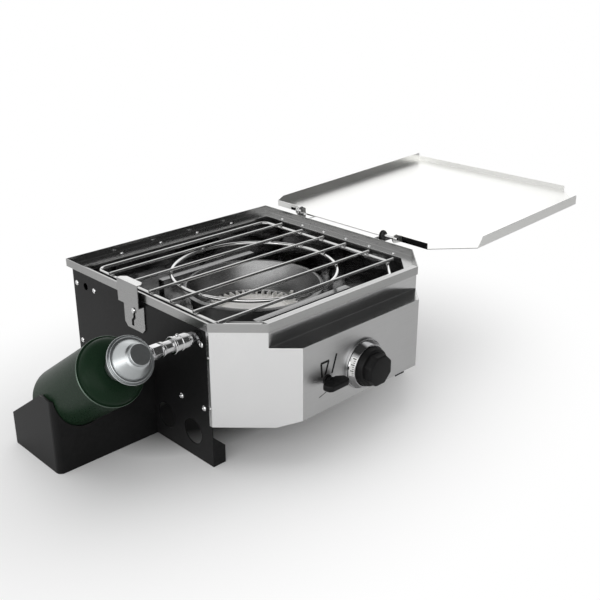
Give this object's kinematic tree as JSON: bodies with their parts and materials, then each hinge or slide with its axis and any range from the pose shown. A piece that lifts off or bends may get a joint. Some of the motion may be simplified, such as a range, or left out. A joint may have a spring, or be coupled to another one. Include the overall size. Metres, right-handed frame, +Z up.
{
  "type": "single burner stove",
  "caption": "Portable single burner gas stove with open folding lid, wire grate over a finned burner, control front with knob and igniter, side gas cylinder, regulator and holder",
  "frame": {"origin": "on the floor under the middle of the whole object's box, with the lid open as it rests", "axes": "+X to the right seen from the control front, where the lid lies open; +Y to the back; +Z up"},
  "size_m": [1.0696, 0.4902, 0.2526],
  "materials": {
    "satin_stainless": "satin ground stainless steel",
    "front_stainless": "lengthwise brushed stainless steel",
    "liner_steel": "plain stainless sheet, darkened inside",
    "black_coat": "black powder coat with a soft sheen",
    "bright_fastener": "bright stainless fasteners",
    "grate_steel": "bright drawn stainless wire",
    "reflector_steel": "spun reflector steel",
    "burner_metal": "bright cast burner metal",
    "tube_steel": "plain tube steel",
    "ceramic": "glazed white ceramic",
    "valve_brass": "machined brass",
    "chrome_trim": "polished chrome plate",
    "black_plastic": "matte black moulded plastic",
    "cast_zinc": "satin cast zinc",
    "cylinder_paint": "dark green gloss paint",
    "washer_rubber": "black washers"
  },
  "bodies": {
    "stove": {"rim_frame": "satin_stainless", "front_shell": "front_stainless", "firebox_liner": "liner_steel", "grate_tabs": "liner_steel", "rear_rail": "liner_steel", "front_rail": "liner_steel", "rear_panel": "liner_steel", "left_side_panel": "black_coat", "right_side_panel": "black_coat", "front_hinge_bracket": "black_coat", "rim_rivets": "bright_fastener", "front_flange_rivets": "bright_fastener", "left_panel_screws": "bright_fastener", "right_panel_screws": "bright_fastener", "latch_stud": "bright_fastener", "front_hinge_pin": "bright_fastener", "rear_hinge_pin": "bright_fastener", "rear_hinge_bracket": "bright_fastener", "grate_bars": "grate_steel", "grate_frame": "grate_steel", "grate_ring": "grate_steel", "burner_bowl": "reflector_steel", "burner_base": "burner_metal", "burner_crown": "burner_metal", "mixing_tube": "tube_steel", "supply_tube": "tube_steel", "electrode_bracket": "tube_steel", "electrode_rod": "ceramic", "gas_valve": "valve_brass", "gas_orifice": "valve_brass", "inlet_fitting": "valve_brass", "knob_bezel": "chrome_trim", "coupler_plug": "chrome_trim", "coupler_socket": "chrome_trim", "igniter_body": "black_plastic", "cylinder_holder": "black_plastic", "regulator_body": "cast_zinc", "regulator_cap": "cast_zinc", "hinge_washers": "washer_rubber"},
    "lid": {"lid_tray": "satin_stainless"},
    "push_collar": {"push_collar": "valve_brass"},
    "knob": {"control_knob": "black_plastic", "valve_stem": "valve_brass"},
    "igniter_key": {"igniter_key": "black_plastic"},
    "latch": {"latch_plate": "satin_stainless"},
    "sleeve": {"coupler_sleeve": "chrome_trim"},
    "cylinder": {"gas_cylinder": "cylinder_paint", "cylinder_valve": "valve_brass"},
    "air_shutter": {"air_shutter": "tube_steel"}
  },
  "joints": [
    {"name": "lid_hinge", "type": "hinge", "parent": "stove", "child": "lid", "pos_m": [0.08272, 0.03215, 0.228], "axis": [0, -1, 0], "range_deg": [0, 177.7]},
    {"name": "knob_push", "type": "slide", "parent": "stove", "child": "push_collar", "axis": [0, 1, 0], "range_m": [0, 0.003], "stiffness_N_per_m": 600},
    {"name": "knob_turn", "type": "hinge", "parent": "push_collar", "child": "knob", "pos_m": [-0.15628, -0.20785, 0.127], "axis": [0, -1, 0], "range_deg": [0, 200]},
    {"name": "igniter_turn", "type": "hinge", "parent": "stove", "child": "igniter_key", "pos_m": [-0.22978, -0.20785, 0.126], "axis": [0, 1, 0], "range_deg": [0, 60], "stiffness_Nm_per_rad": 0.1},
    {"name": "latch_lift", "type": "slide", "parent": "stove", "child": "latch", "axis": [0, 0, 1], "range_m": [0, 0.008]},
    {"name": "sleeve_pull", "type": "slide", "parent": "stove", "child": "sleeve", "axis": [1, 0, 0], "range_m": [0, 0.003], "stiffness_N_per_m": 500},
    {"name": "cylinder_turn", "type": "hinge", "parent": "stove", "child": "cylinder", "pos_m": [-0.48228, -0.09585, 0.2013], "axis": [0, -0.8241, 0.5664], "range_deg": [0, 720]},
    {"name": "air_shutter_turn", "type": "hinge", "parent": "stove", "child": "air_shutter", "pos_m": [-0.15628, -0.17085, 0.094], "axis": [0, -1, 0], "range_deg": [0, 60]}
  ]
}
